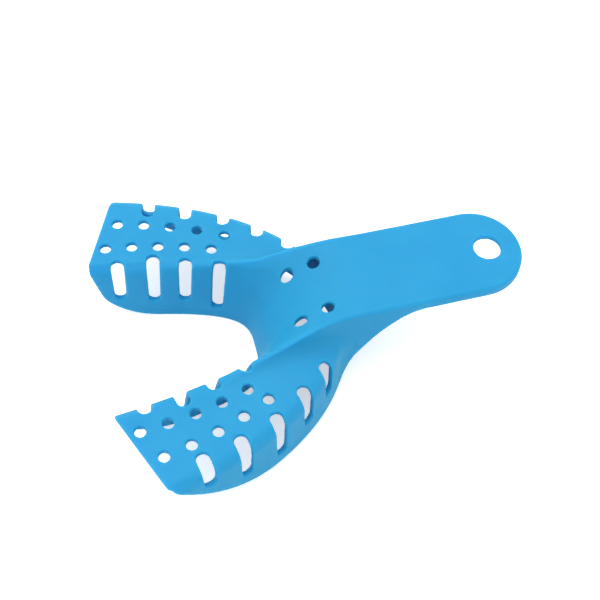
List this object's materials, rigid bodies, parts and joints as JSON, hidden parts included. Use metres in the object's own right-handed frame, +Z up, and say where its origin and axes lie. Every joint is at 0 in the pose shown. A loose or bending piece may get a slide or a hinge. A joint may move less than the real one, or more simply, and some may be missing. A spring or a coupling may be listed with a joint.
{
  "type": "dental impression tray",
  "caption": "Perforated stock tray for taking a lower dental impression: a horseshoe channel, open underneath and behind, with a flat handle that has a hang hole.",
  "frame": {"origin": "middle of the footprint, on the plane of the lingual rim the tray rests on", "axes": "+X from the open heels along the handle to its tip, +Y across the arch, +Z up from the rim to the roof of the channel"},
  "size_m": [0.089, 0.0708, 0.0241],
  "materials": {
    "blue_plastic": "satin"
  },
  "bodies": {
    "root": {"tray_body": "blue_plastic"}
  },
  "joints": []
}
